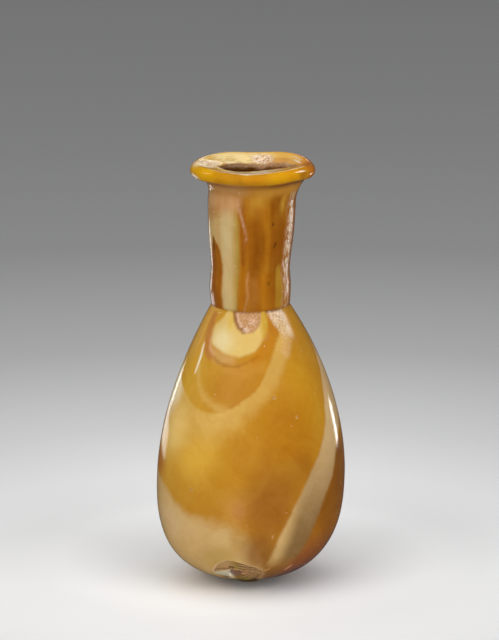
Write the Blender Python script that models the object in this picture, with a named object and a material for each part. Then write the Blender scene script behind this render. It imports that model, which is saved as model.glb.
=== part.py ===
"""A small free-blown flask of marbled glass: a pear-shaped body, a short neck and a folded lip.

The flask is one piece of glass, open at the mouth and hollow to the floor of its body.
Its frame is in metres, +Z up, with the origin at the middle of the foot it stands on.
The side towards -Y is the front, which carries the scar.
"""

from math import asin, cos, pi, radians, sin

import bmesh
import bpy
from mathutils import Vector

MM = 0.001

# Sizes of the foot and the body, in metres
FOOT_DIAMETER = 6.6 * MM
FOOT_HEIGHT = 1.3 * MM
FOOT_SPREAD = 1.0 * MM
BODY_DIAMETER = 44.1 * MM
BELLY_HEIGHT = 25.5 * MM
CREASE_HEIGHT = 66.6 * MM
CREASE_DIAMETER = 18.3 * MM

# Sizes of the neck, in metres
NECK_HEIGHT = 33.4 * MM
NECK_SWELL_DIAMETER = 18.9 * MM
NECK_WAIST_DIAMETER = 18.35 * MM
NECK_SHOULDER_DIAMETER = 19.95 * MM
NECK_TOP_DIAMETER = 20.5 * MM
FLARE_HEIGHT = 5.0 * MM
FLARE_SHIFT = 0.5 * MM

# Sizes of the folded lip, in metres: it is wide at -X, narrow at +X, and its top falls inward at the back
LIP_DIAMETER = 28.9 * MM
LIP_THICKNESS = 3.1 * MM
LIP_BROW = 1.6 * MM
LIP_WIDTH_LEFT = 6.5 * MM
LIP_WIDTH_RIGHT = 4.0 * MM
MOUTH_DROP = 0.9 * MM
MOUTH_TILT = 1.0 * MM

# Thickness of the glass, in metres
BODY_WALL = 1.9 * MM
FLOOR_WALL = 3.0 * MM
FLOOR_DIAMETER = 6.0 * MM
NECK_WALL = 1.6 * MM

# The scar low on the front, where a flake of the glass has gone
SCAR_BEARING = radians(-100.0)
SCAR_HEIGHT = 3.9 * MM
SCAR_WIDTH = 12.4 * MM
SCAR_RISE = 11.6 * MM
SCAR_DEPTH = 0.5 * MM

# Unevenness of free-blown glass, in metres: lean to +X, squareness and waviness of the lip
LEAN = 1.05 * MM
LIP_OVAL = 0.09 * MM
LIP_WAVE = 0.3 * MM

# Form of the curves: exponents of the bowl and the shoulder, and stations as shares of a height
BOWL_SQUARENESS = 2.62
SHOULDER_POWER = 1.9
SCAR_EDGE_CRISPNESS = 2.2
NECK_SWELL_PLACE = 0.17
NECK_WAIST_PLACE = 0.36
NECK_SHOULDER_PLACE = 0.70
LEAN_STATIONS = ((0.0, 0.0), (0.06, -0.1), (0.16, 0.3), (0.30, 0.75), (0.46, 1.0),
                 (0.58, 0.9), (0.70, 0.5), (0.84, 0.7), (1.0, 1.05))

# Facets: round the flask, and along each stretch of its outline
ROUND_FACETS = 54
BOWL_STEPS = 10
SHOULDER_STEPS = 9
NECK_STEPS = 8
FLARE_STEPS = 4
ROLL_STEPS = 4
LIP_TOP_STEPS = 3
THROAT_STEPS = 4
CAVITY_NECK_STEPS = 5
CAVITY_BOWL_STEPS = 7
CAVITY_SHOULDER_STEPS = 6

GLASS_COLOUR = (0.56, 0.31, 0.06, 1.0)

FLASK_HEIGHT = CREASE_HEIGHT + NECK_HEIGHT
LIP_UNDERSIDE = FLASK_HEIGHT - LIP_THICKNESS
FLARE_FOOT = LIP_UNDERSIDE - FLARE_HEIGHT
MOUTH_RADIUS = (LIP_DIAMETER - LIP_WIDTH_LEFT - LIP_WIDTH_RIGHT) / 2
MOUTH_SHIFT = (LIP_WIDTH_LEFT - LIP_WIDTH_RIGHT) / 2


def smooth_through(stations, at):
    """Value at `at` on a curve through (place, value) stations, with level-headed cubic slopes."""
    places = [place for place, _ in stations]
    values = [value for _, value in stations]
    if at <= places[0]:
        return values[0]
    if at >= places[-1]:
        return values[-1]
    last = len(places) - 1
    slopes = []
    for i in range(last + 1):
        before = max(i - 1, 0)
        after = min(i + 1, last)
        slopes.append((values[after] - values[before]) / (places[after] - places[before]))
    i = max(k for k in range(last) if places[k] <= at)
    span = places[i + 1] - places[i]
    t = (at - places[i]) / span
    return (
        (2 * t**3 - 3 * t**2 + 1) * values[i]
        + (t**3 - 2 * t**2 + t) * span * slopes[i]
        + (3 * t**2 - 2 * t**3) * values[i + 1]
        + (t**3 - t**2) * span * slopes[i + 1]
    )


def pear_outline(bottom, start_radius, belly_radius, crease_radius, bowl_steps, shoulder_steps):
    """Points (radius, height) of a pear from near its bottom to the crease under the neck.

    Below the belly the curve is a superellipse, and above it the radius falls by a power of the rise.
    """
    points = []
    depth = BELLY_HEIGHT - bottom
    share = start_radius / belly_radius
    start = asin((1 - share**BOWL_SQUARENESS) ** (1 / BOWL_SQUARENESS))
    for i in range(bowl_steps + 1):
        drop = sin(start * (1 - i / bowl_steps))
        radius = belly_radius * (1 - drop**BOWL_SQUARENESS) ** (1 / BOWL_SQUARENESS)
        points.append((radius, BELLY_HEIGHT - depth * drop))
    rise = CREASE_HEIGHT - BELLY_HEIGHT
    for i in range(1, shoulder_steps + 1):
        t = i / shoulder_steps
        radius = belly_radius - (belly_radius - crease_radius) * t**SHOULDER_POWER
        points.append((radius, BELLY_HEIGHT + rise * t))
    return points


def neck_radius(height):
    """Outer radius of the neck at a height between the crease and the foot of the flare."""
    stations = (
        (0.0, CREASE_DIAMETER / 2),
        (NECK_SWELL_PLACE, NECK_SWELL_DIAMETER / 2),
        (NECK_WAIST_PLACE, NECK_WAIST_DIAMETER / 2),
        (NECK_SHOULDER_PLACE, NECK_SHOULDER_DIAMETER / 2),
        (1.0, NECK_TOP_DIAMETER / 2),
    )
    return smooth_through(stations, (height - CREASE_HEIGHT) / (FLARE_FOOT - CREASE_HEIGHT))


def body_and_neck_outline():
    """The outside from the rim of the foot to the foot of the flare, as (radius, height)."""
    foot_radius = FOOT_DIAMETER / 2
    outline = [(foot_radius, 0.0)]
    outline += pear_outline(FOOT_HEIGHT, foot_radius + FOOT_SPREAD, BODY_DIAMETER / 2, CREASE_DIAMETER / 2,
                            BOWL_STEPS, SHOULDER_STEPS)
    for i in range(1, NECK_STEPS + 1):
        height = CREASE_HEIGHT + (FLARE_FOOT - CREASE_HEIGHT) * i / NECK_STEPS
        outline.append((neck_radius(height), height))
    return outline


def lip_outline():
    """The outside from the flare to the crest of the lip, as (radius, height, offset to +X).

    A quarter ellipse flares out of the neck, and two rounded quarters make the roll of the fold.
    """
    outline = []
    lip_radius = LIP_DIAMETER / 2
    neck_edge = NECK_TOP_DIAMETER / 2
    chin = LIP_THICKNESS - LIP_BROW
    flare_reach = lip_radius - chin - neck_edge
    for i in range(1, FLARE_STEPS + 1):
        turn = pi / 2 * i / FLARE_STEPS
        radius = neck_edge + flare_reach * (1 - cos(turn))
        outline.append((radius, FLARE_FOOT + FLARE_HEIGHT * sin(turn), FLARE_SHIFT * sin(2 * turn)))
    for i in range(1, ROLL_STEPS + 1):
        turn = pi / 2 * i / ROLL_STEPS
        radius = lip_radius - chin * (1 - sin(turn))
        outline.append((radius, LIP_UNDERSIDE + chin * (1 - cos(turn)), 0.0))
    for i in range(1, ROLL_STEPS + 1):
        turn = pi / 2 * i / ROLL_STEPS
        outline.append((lip_radius - LIP_BROW * (1 - cos(turn)), FLASK_HEIGHT - LIP_BROW * (1 - sin(turn)), 0.0))
    return outline


def inner_outline():
    """The inside from the crest of the lip to the floor, as (radius, height, share of the mouth's shift)."""
    outline = []
    crest_radius = LIP_DIAMETER / 2 - LIP_BROW
    for i in range(1, LIP_TOP_STEPS + 1):
        share = i / LIP_TOP_STEPS
        outline.append((crest_radius + (MOUTH_RADIUS - crest_radius) * share, FLASK_HEIGHT, share))
    throat_radius = neck_radius(FLARE_FOOT) - NECK_WALL
    for i in range(1, THROAT_STEPS + 1):
        depth = i / THROAT_STEPS
        share = (1 - depth) ** 2
        radius = throat_radius + (MOUTH_RADIUS - throat_radius) * share
        outline.append((radius, FLASK_HEIGHT + (FLARE_FOOT - FLASK_HEIGHT) * depth, share))
    for i in range(1, CAVITY_NECK_STEPS):
        height = FLARE_FOOT + (CREASE_HEIGHT - FLARE_FOOT) * i / CAVITY_NECK_STEPS
        outline.append((neck_radius(height) - NECK_WALL, height, 0.0))
    cavity = pear_outline(FOOT_HEIGHT + FLOOR_WALL, FLOOR_DIAMETER / 2, BODY_DIAMETER / 2 - BODY_WALL,
                          CREASE_DIAMETER / 2 - NECK_WALL, CAVITY_BOWL_STEPS, CAVITY_SHOULDER_STEPS)
    outline += [(radius, height, 0.0) for radius, height in reversed(cavity)]
    return outline


def axis_at(height):
    """Where the middle of the glass lies at a height: it leans a little to +X, as blown glass does."""
    return LEAN * smooth_through(LEAN_STATIONS, height / FLASK_HEIGHT)


def lip_share(height):
    """How far a point takes part in the unevenness of the lip: none at the flare's foot, all at the top."""
    t = min(max((height - FLARE_FOOT) / (FLASK_HEIGHT - FLARE_FOOT), 0.0), 1.0)
    return t * t * (3 - 2 * t)


def lip_lift(bearing):
    """How far the lip rises at a bearing: its four diagonals stand up, most of all at the back right."""
    swing = 1 + 0.5 * sin(bearing) + 0.3 * cos(bearing)
    return LIP_WAVE * swing * (1 - cos(4 * bearing)) / 2


def scar_sink(bearing, radius, height):
    """How deep the scar cuts at a point of the outside: an oval dish with a crisp upper edge."""
    across = (bearing - SCAR_BEARING) * radius / (SCAR_WIDTH / 2)
    along = (height - SCAR_HEIGHT) / (SCAR_RISE / 2)
    inside = 1 - across**2 - along**2
    return SCAR_DEPTH * min(1.0, SCAR_EDGE_CRISPNESS * inside) if inside > 0 else 0.0


def place(bearing, radius, height, offset):
    """A point of the glass at a bearing round the flask, with the lean and the unevenness of the lip."""
    share = lip_share(height)
    radius += share * LIP_OVAL * cos(4 * bearing)
    middle = axis_at(height) + offset
    return Vector((middle + radius * cos(bearing), radius * sin(bearing), height + share * lip_lift(bearing)))


def outside_ring(mesh, bearings, radius, height, offset=0.0):
    """One ring of points on the outside, sunk where the scar lies."""
    return [mesh.verts.new(place(b, radius - scar_sink(b, radius, height), height, offset)) for b in bearings]


def inside_ring(mesh, bearings, radius, height, share):
    """One ring of points on the inside, which follows the mouth's shift and its fall to the back."""
    ring = []
    for b in bearings:
        point = place(b, radius, height, MOUTH_SHIFT * share)
        point.z -= share * (MOUTH_DROP + MOUTH_TILT * sin(b))
        ring.append(mesh.verts.new(point))
    return ring


def join_rings(mesh, first, second):
    """The band of faces between two rings."""
    for i in range(ROUND_FACETS):
        j = (i + 1) % ROUND_FACETS
        mesh.faces.new((first[i], first[j], second[j], second[i]))


def glass():
    """Amber glass with white bands, smooth and a little see-through."""
    material = bpy.data.materials.new("amber_and_white_glass")
    material.use_nodes = True
    shader = material.node_tree.nodes["Principled BSDF"]
    shader.inputs["Base Color"].default_value = GLASS_COLOUR
    shader.inputs["Roughness"].default_value = 0.15
    shader.inputs["Metallic"].default_value = 0.0
    return material


def build_flask():
    """The whole flask as one closed skin: outside, over the lip, and down the inside."""
    mesh = bmesh.new()
    bearings = [2 * pi * i / ROUND_FACETS - pi for i in range(ROUND_FACETS)]
    rings = [outside_ring(mesh, bearings, *station) for station in body_and_neck_outline() + lip_outline()]
    rings += [inside_ring(mesh, bearings, *station) for station in inner_outline()]
    for first, second in zip(rings, rings[1:]):
        join_rings(mesh, first, second)
    mesh.faces.new(list(reversed(rings[0])))
    mesh.faces.new(rings[-1])
    bmesh.ops.triangulate(mesh, faces=mesh.faces[:])
    bmesh.ops.recalc_face_normals(mesh, faces=mesh.faces[:])
    data = bpy.data.meshes.new("flask")
    mesh.to_mesh(data)
    mesh.free()
    data.shade_smooth()
    data.set_sharp_from_angle(angle=radians(50))
    data.materials.append(glass())
    flask = bpy.data.objects.new("flask", data)
    bpy.context.scene.collection.objects.link(flask)
    return flask


def main():
    """Clears the scene and makes the flask."""
    for old in list(bpy.data.objects):
        bpy.data.objects.remove(old)
    build_flask()


main()
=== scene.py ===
"""A small free-blown flask of marbled glass on a pale studio floor.

The flask is one skin: a bowl, a shoulder, a pinched crease, a neck and a folded lip, worked out as rings
round a leaning axis. Its bands of colour are worked out on the same rings and kept as attributes, and the
glass material adds streaks, bubbles, crust and gloss. Lengths inside the functions are in millimetres, and
bearings in degrees: -90 is the front, 0 the right, 90 the back and 180 the left.
"""

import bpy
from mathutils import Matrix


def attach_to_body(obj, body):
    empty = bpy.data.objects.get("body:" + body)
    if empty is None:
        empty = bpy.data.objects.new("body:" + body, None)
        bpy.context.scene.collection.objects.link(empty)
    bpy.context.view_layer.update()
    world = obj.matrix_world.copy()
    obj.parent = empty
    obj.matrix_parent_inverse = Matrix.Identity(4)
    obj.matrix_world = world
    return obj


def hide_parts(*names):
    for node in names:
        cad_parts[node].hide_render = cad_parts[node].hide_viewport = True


bl_info = {
    "name": "Marbled Glass Flask",
    "version": (1, 0, 0),
    "blender": (4, 5, 0),
    "location": "3D View > Sidebar > Flask",
    "description": "Blows a small flask of marbled glass and sets it on a pale studio floor",
    "category": "Add Mesh",
}

from math import radians

import bpy
import numpy as np
from mathutils import Vector

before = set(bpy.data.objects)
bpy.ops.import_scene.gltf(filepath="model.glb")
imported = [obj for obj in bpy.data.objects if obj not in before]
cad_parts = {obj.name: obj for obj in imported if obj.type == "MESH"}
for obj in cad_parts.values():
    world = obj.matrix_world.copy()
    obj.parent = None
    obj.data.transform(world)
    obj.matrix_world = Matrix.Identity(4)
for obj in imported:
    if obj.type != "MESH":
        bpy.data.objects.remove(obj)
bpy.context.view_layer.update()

MM = 0.001
FULL_TURN = 360.0
BOTH_GLASSES = ("amber", "white")

# Points on each ring of the skin
ROUND_COUNT = 336
# Powers of the two curves of the pear: the superellipse below the belly, and the shoulder above it
BOWL_SQUARENESS = 2.62
SHOULDER_POWER = 1.9
# Small sizes of the skin, in mm
FOOT_HEIGHT = 1.3
FOOT_SPREAD = 1.0
FOOT_EDGE = 0.35
FLARE_HEIGHT = 5.0
FLARE_SHIFT = 0.5
LIP_BROW = 1.6
NECK_WALL = 1.6
INNER_FLOOR = 4.3
INNER_FLOOR_RADIUS = 3.0
# How the lip and the mouth stray from round and level, in mm
LIP_OVAL = 0.09
LIP_WAVE = 0.3
CREST_SLUMP = 0.3
EDGE_SLUMP = 0.45
MOUTH_SHIFT = 1.25
MOUTH_DROP = 0.9
MOUTH_TILT = 1.0
MOUTH_DENT = 1.5
DENT_DROP = 0.2
# Where white glass certainly doesn't show, in the signed measure that Paint.shows keeps
HIDDEN = -4.0
# Height where the paint of the shoulder meets that of the neck, in mm
PAINT_SEAM = 66.65

# Shares of the height where the axis of the glass steps aside, and by how much of the lean
LEAN_STATIONS = ((0.0, 0.0), (0.06, -0.1), (0.16, 0.3), (0.30, 0.75), (0.46, 1.0),
                 (0.58, 0.9), (0.70, 0.5), (0.84, 0.7), (1.0, 1.05))
# The neck between the crease and the flare: share of its height, and share of the way from crease to top
NECK_STATIONS = ((0.0, 0.0), (0.17, 0.273), (0.36, 0.023), (0.70, 0.75), (1.0, 1.0))
# The upper edge of the scar: bearing, and height in mm
SCAR_BROW = ((-124, 4.9), (-121, 5.6), (-114, 8.0), (-107, 9.35), (-102.5, 9.6), (-93.4, 8.75), (-85, 7.8),
             (-79, 6.8), (-73, 5.9))

# The pool of light on the paper: distance from its middle in metres, and brightness as a share
# of the paper's colour
POOL_OF_LIGHT = ((0.0, 1.13), (0.044, 1.13), (0.056, 1.04), (0.08, 1.0), (0.127, 0.80), (0.216, 0.545),
                 (0.354, 0.378), (0.525, 0.353), (0.67, 0.354), (0.795, 0.367), (0.98, 0.38))
# How far behind the flask the middle of that pool lies, in metres
POOL_BEHIND = 0.02
# The paper: points round, rings out along the flat and up the sweep, and in mm its reach, bend and height
PAPER_ROUND = 96
PAPER_FLAT = 24
PAPER_SWEEP = 12
PAPER_END = 3200.0
PAPER_BEND = 900.0
PAPER_TOP = 1400.0

# A faint even light from all round, the point the lamps face in metres, and the camera's sensor in mm
AIR_COLOUR = (0.95, 0.97, 1.0, 1.0)
AIR_STRENGTH = 0.06
LAMP_AIM = (0.0, 0.0, 0.05)
SENSOR_WIDTH = 36.0

# Soft lamps, and bright cards that only the gloss mirrors: name, place and size in metres, watts, and
# whether it is a card
LAMPS = (
    ("overhead_softbox", (-0.14, -0.3, 1.5), (2.6, 2.1), 23.5, False),
    ("left_fill", (-1.1, -1.3, 0.9), (1.4, 1.2), 16.0, False),
    ("right_fill", (1.2, -1.1, 0.8), (1.4, 1.2), 15.5, False),
    ("low_fill", (0.0, -1.2, 0.15), (1.0, 0.3), 2.4, False),
    ("left_low_card", (-0.111, 0.139, 0.012), (0.083, 0.02), 0.0083, True),
    ("left_neck_card", (-0.11, 0.164, 0.034), (0.024, 0.02), 0.0045, True),
    ("right_low_card", (0.216, 0.198, 0.014), (0.036, 0.042), 0.034, True),
    ("right_side_card", (0.41, 0.15, 0.36), (0.10, 0.20), 0.6, True),
    ("top_card", (0.04, 0.60, 0.33), (0.12, 0.06), 0.08, True),
    ("left_side_card", (-0.45, 0.12, 0.40), (0.06, 0.20), 0.10, True),
)


def linear(hex_colour):
    """A colour given as sRGB hex, turned to linear light, with full opacity."""
    parts = np.array([int(hex_colour[i:i + 2], 16) for i in (1, 3, 5)]) / 255.0
    light = np.where(parts <= 0.04045, parts / 12.92, ((parts + 0.055) / 1.055) ** 2.4)
    return (*light.tolist(), 1.0)


def length(name, description, default):
    """A length property, whose default is given in millimetres."""
    return bpy.props.FloatProperty(name=name, description=description, default=default * MM,
                                   min=0.0, unit="LENGTH")


def colour(name, description, hex_colour):
    """A colour property, whose default is given as sRGB hex."""
    return bpy.props.FloatVectorProperty(name=name, description=description, default=linear(hex_colour),
                                         size=4, min=0.0, max=1.0, subtype="COLOR")


class FlaskSizes(bpy.types.PropertyGroup):
    """Sizes of the flask."""

    height: length("Height", "From the foot to the crest of the lip", 100.0)
    foot: length("Foot", "Diameter of the small flat foot", 6.6)
    belly: length("Belly", "Diameter of the body at its widest", 44.1)
    belly_height: length("Belly height", "Height of the widest part of the body", 25.5)
    crease: length("Crease", "Diameter at the crease under the neck", 18.3)
    crease_height: length("Crease height", "Height of the crease under the neck", 66.6)
    neck: length("Neck", "Diameter of the neck where the lip flares out", 20.5)
    lip: length("Lip", "Diameter of the folded lip", 28.9)
    lip_thickness: length("Lip thickness", "Height of the roll of the lip", 3.1)
    mouth: length("Mouth", "Diameter of the mouth", 18.4)
    lean: length("Lean", "How far the lip stands to the right of the foot", 1.05)
    wall: length("Wall", "Thickness of the glass in the body", 1.9)


class GlassColours(bpy.types.PropertyGroup):
    """Colours of the marbled glass."""

    amber: colour("Amber", "The main body glass", "#B88221")
    # Honey is lighter glass at the left together with a painted glow there
    honey_and_glow: colour("Honey", "Lighter body glass at the left", "#C89937")
    orange: colour("Orange", "Deep orange glass under the shoulder", "#B47C28")
    brown: colour("Brown", "Dark glass low on the right and in the neck", "#9A5F12")
    # Umber is dark glass in blotches on the body, and painted shade deep in the throat
    umber_and_throat_shade: colour("Umber", "The darkest glass, in folds and in the mouth", "#5B3208")
    cream: colour("Cream", "White glass seen through a little amber", "#C3A067")
    pale: colour("Pale", "The pale loop round the shoulder", "#CDA352")
    ivory: colour("Ivory", "The whitest glass, in the mouth and the lip", "#EBD293")
    tan: colour("Tan", "Pinkish weathered glass", "#B88A5C")
    # Bloom is laid once, as a pale patch low on the left of the roll that is painted highlight with a
    # little crust
    bloom_and_highlight: colour("Bloom", "The dull white crust of weathering", "#E6CFB4")
    # Mauve is laid only low on the front and right of the bowl, as painted shade under the base
    base_shade_mauve: colour("Mauve", "Weathered hollows and the shaded base", "#70483E")


class StageSettings(bpy.types.PropertyGroup):
    """Camera and light of the studio."""

    distance: length("Camera distance", "From the camera to the point it looks at", 1000.0)
    elevation: bpy.props.FloatProperty(name="Camera elevation", description="Angle above the horizon",
                                       default=radians(13.0), subtype="ANGLE")
    lens: bpy.props.FloatProperty(name="Lens", description="Focal length in millimetres, on a 36 mm sensor",
                                  default=241.26, min=1.0)
    aim_height: length("Aim height", "Height of the point the camera looks at", 62.65)
    aim_side: length("Aim side", "How far that point lies to the right of the foot", 0.35)
    strength: bpy.props.FloatProperty(name="Light", description="Strength of all the lamps",
                                      default=1.0, min=0.0)
    paper: colour("Floor", "Pale seamless paper near the flask", "#EDEDED")


def smooth_through(stations, at):
    """Hermite curve through (place, value) stations.

    Each stretch is a cubic, and the slope at a station is that of the chord between its two neighbours.
    """
    place, value = np.array(stations, float).T
    last = len(place) - 1
    index = np.arange(last + 1)
    before = np.maximum(index - 1, 0)
    after = np.minimum(index + 1, last)
    slope = (value[after] - value[before]) / (place[after] - place[before])
    at = np.clip(at, place[0], place[-1])
    i = np.clip(np.searchsorted(place, at, side="right") - 1, 0, last - 1)
    span = place[i + 1] - place[i]
    t = (at - place[i]) / span
    return (
        (2 * t**3 - 3 * t**2 + 1) * value[i]
        + (t**3 - 2 * t**2 + t) * span * slope[i]
        + (3 * t**2 - 2 * t**3) * value[i + 1]
        + (t**3 - t**2) * span * slope[i + 1]
    )


def rise(value, low, high):
    """0 below low and 1 above high, with an S curve between: t squared times (3 - 2t)."""
    t = np.clip((value - low) / (high - low), 0.0, 1.0)
    return t * t * (3 - 2 * t)


def bump(value, middle, half_width):
    """A hill of height 1: the S curve of 1 less the distance from the middle, over the half width."""
    return rise(1 - np.abs(value - middle) / half_width, 0.0, 1.0)


def fall(value, low, high):
    """1 below low and 0 above high: 1 less the rise."""
    return 1 - rise(value, low, high)


def turned(bearing, middle):
    """The bearing brought to within half a turn of the middle."""
    return (bearing - middle + 180.0) % FULL_TURN - 180.0 + middle


def hill(bearing, middle, half_width):
    """A bump round the flask, whose distance from the middle is taken the short way round."""
    return bump(turned(bearing, middle), middle, half_width)


def along(bearing, stations):
    """Value at each bearing of a closed curve round the flask, given as (bearing, value) stations."""
    first = stations[0]
    closed = stations + ((first[0] + FULL_TURN, first[1]),)
    return smooth_through(closed, first[0] + (bearing - first[0]) % FULL_TURN)


def stroke(bearing, height, radius, path, width, soft):
    """A brush stroke on the skin: 1 within width of a path, falling to 0 over soft.

    The path is of (bearing, height) points. The distance is the shortest to any straight stretch of it,
    with bearings turned to millimetres of arc at the point's own radius. The width may be one number or one
    for each point of the path.
    """
    widths = np.broadcast_to(width, len(path))
    scale = radius * np.pi / 180.0
    best = np.full(bearing.shape, 1e9)
    for i in range(len(path) - 1):
        (b0, z0), (b1, z1) = path[i], path[i + 1]
        across = (turned(bearing, (b0 + b1) / 2) - b0) * scale
        up = height - z0
        run = (b1 - b0) * scale
        climb = z1 - z0
        t = np.clip((across * run + up * climb) / (run**2 + climb**2 + 1e-9), 0.0, 1.0)
        away = np.hypot(across - t * run, up - t * climb) - (widths[i] + (widths[i + 1] - widths[i]) * t)
        best = np.minimum(best, away)
    return fall(best, 0.0, soft)


def ripple(bearing, height, seed, waves, tall):
    """Smooth unevenness between about -1 and 1.

    It is a sum of six sines round the flask over 3.5. Each has a whole number of waves, drawn between two
    limits, and a phase that drifts by up to one turn in so many millimetres of height.
    """
    draw = np.random.default_rng(seed)
    total = np.zeros(np.broadcast(bearing, height).shape)
    for _ in range(6):
        round_count = draw.integers(waves[0], waves[1] + 1)
        drift = draw.uniform(-1.0, 1.0) / tall
        start = draw.uniform(0, 6.28)
        total = total + np.sin(np.radians(bearing) * round_count + 2 * np.pi * drift * height + start)
    return total / 3.5


def pear(bottom, start_radius, belly_radius, crease_radius, size, bowl, shoulder):
    """Radius and height of a pear from near its bottom to the crease.

    Below the belly it is a superellipse of power 2.62: the radius is the belly's times
    (1 - drop to that power) to the power 1 / 2.62. Above, it falls by the rise to the power 1.9.
    """
    power = BOWL_SQUARENESS
    belly_height = size.belly_height / MM
    share = start_radius / belly_radius
    start = np.arcsin((1 - share**power) ** (1 / power))
    drop = np.sin(start * (1 - bowl))
    low_radius = belly_radius * (1 - np.abs(drop) ** power) ** (1 / power)
    low_height = belly_height - (belly_height - bottom) * drop
    high_radius = belly_radius - (belly_radius - crease_radius) * shoulder**SHOULDER_POWER
    high_height = belly_height + (size.crease_height / MM - belly_height) * shoulder
    return np.concatenate([low_radius, high_radius]), np.concatenate([low_height, high_height])


def outline(size):
    """The profile of the skin: from the foot's middle, up the outside, over the lip and down to the floor.

    Gives six arrays: radius, height, offset to +X, share of the mouth's fall, walk, and 1 on the inside.
    Walk is a running place along the profile: the height up to the lip's crest at 100, then 104 at the
    edge of the mouth, 112 at the foot of the throat, 136 at the crease inside and 189 at the floor. The
    bowl and shoulder are the pear's, the neck a smooth curve through stations, and the flare, the chin and
    the brow of the lip are each a quarter of an ellipse.
    """
    height = size.height / MM
    foot = size.foot / MM / 2
    crease = size.crease / MM / 2
    crease_height = size.crease_height / MM
    neck = size.neck / MM / 2
    lip = size.lip / MM / 2
    mouth = size.mouth / MM / 2
    thickness = size.lip_thickness / MM
    brow = LIP_BROW
    chin = thickness - brow
    underside = height - thickness
    flare_foot = underside - FLARE_HEIGHT
    rows = []

    def stretch(radius, level, offset=0.0, share=0.0, walk=None, inside=0.0):
        """Adds one stretch of the profile, whose missing columns are spread to its length."""
        columns = [radius, level, offset, share, level if walk is None else walk, inside]
        rows.append(np.stack(np.broadcast_arrays(*[np.asarray(c, float) for c in columns])))

    under = np.linspace(0.5, foot - FOOT_EDGE, 6)
    stretch(under, 0.0, walk=np.linspace(-3.0, -0.5, 6))
    turn = np.radians(np.linspace(0, 80, 4))
    stretch(foot - FOOT_EDGE + FOOT_EDGE * np.sin(turn), FOOT_EDGE * (1 - np.cos(turn)))
    bowl = np.concatenate([np.linspace(0.0, 0.544, 84), np.linspace(0.544, 1.0, 19)[1:]])
    shoulder = np.concatenate([np.linspace(0.0, 0.596, 27)[1:], np.linspace(0.596, 0.97, 35)[1:],
                               np.linspace(0.97, 1.0, 9)[1:]])
    stretch(*pear(FOOT_HEIGHT, foot + FOOT_SPREAD, size.belly / MM / 2, crease, size, bowl, shoulder))
    share = np.concatenate([np.linspace(0.004, 0.05, 7), np.linspace(0.075, 1.0, 36)])
    rising = smooth_through(NECK_STATIONS, share)
    stretch(crease + (neck - crease) * rising, crease_height + (flare_foot - crease_height) * share)
    turn = np.linspace(0, np.pi / 2, 11)[1:]
    stretch(neck + (lip - chin - neck) * (1 - np.cos(turn)), flare_foot + FLARE_HEIGHT * np.sin(turn),
            offset=FLARE_SHIFT * np.sin(2 * turn))
    turn = np.linspace(0, np.pi / 2, 7)[1:]
    stretch(lip - chin * (1 - np.sin(turn)), underside + chin * (1 - np.cos(turn)))
    stretch(lip - brow * (1 - np.cos(turn)), height - brow * (1 - np.sin(turn)))
    share = np.linspace(0, 1, 19)[1:]
    crest = lip - brow
    stretch(crest + (mouth - crest) * share, height, share=share, walk=height + 4 * share)
    throat = neck - NECK_WALL
    depth = np.linspace(0, 1, 13)[1:]
    share = (1 - depth) ** 2
    stretch(throat + (mouth - throat) * share, height - (height - flare_foot) * depth, share=share,
            walk=height + 4 + 8 * depth, inside=rise(depth, 0.0, 0.3))
    share = np.linspace(1.0, 0.0, 7)[1:-1]
    stretch(crease + (neck - crease) * smooth_through(NECK_STATIONS, share) - NECK_WALL,
            crease_height + (flare_foot - crease_height) * share, walk=112 + 24 * (1 - share), inside=1.0)
    wall = size.wall / MM
    radius, level = pear(INNER_FLOOR, INNER_FLOOR_RADIUS, size.belly / MM / 2 - wall, crease - NECK_WALL,
                         size, np.linspace(0.0, 1.0, 8), np.linspace(0.0, 1.0, 6)[1:])
    stretch(radius[::-1], level[::-1], walk=137 + 50 * np.linspace(0, 1, len(radius)), inside=1.0)
    stretch(np.array([INNER_FLOOR_RADIUS / 2]), np.array([INNER_FLOOR]), walk=189.0, inside=1.0)
    return np.concatenate(rows, axis=1)


def bearings(count):
    """Bearings round the flask from -180, crowded towards the scar and the front.

    They stand at equal steps of the summed crowding, which is 1 plus two bell curves.
    """
    fine = np.linspace(-180.0, 180.0, 7201)
    crowding = (1 + 1.3 * np.exp(-(((fine + 98.0) / 26.0) ** 2))
                + 0.35 * np.exp(-(((fine + 90.0) / 80.0) ** 2)))
    total = np.cumsum(crowding)
    total = (total - total[0]) / (total[-1] - total[0])
    return np.interp(np.arange(count) / count, total, fine)


def grain(bearing, up, seed, steps):
    """Smooth chance unevenness from 0 to 1, in so many steps round the flask.

    Whole steps round and up have random values, and the value between is theirs blended by the S curve
    3t squared less 2t cubed, both ways.
    """
    table = np.random.default_rng(seed).random((steps, 64))
    across = (bearing + 180.0) / FULL_TURN * steps
    across, up = np.broadcast_arrays(across, up)
    i = np.floor(across).astype(int)
    j = np.floor(up).astype(int)
    u = rise(across - i, 0.0, 1.0)
    v = rise(up - j, 0.0, 1.0)
    near = i % steps
    next_to = (i + 1) % steps
    low = table[near, j % 64] * (1 - u) + table[next_to, j % 64] * u
    high = table[near, (j + 1) % 64] * (1 - u) + table[next_to, (j + 1) % 64] * u
    return low * (1 - v) + high * v


def scar_brow(bearing):
    """Height of the upper edge of the scar at each bearing, on a smooth curve through its stations."""
    return smooth_through(SCAR_BROW, bearing)


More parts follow.
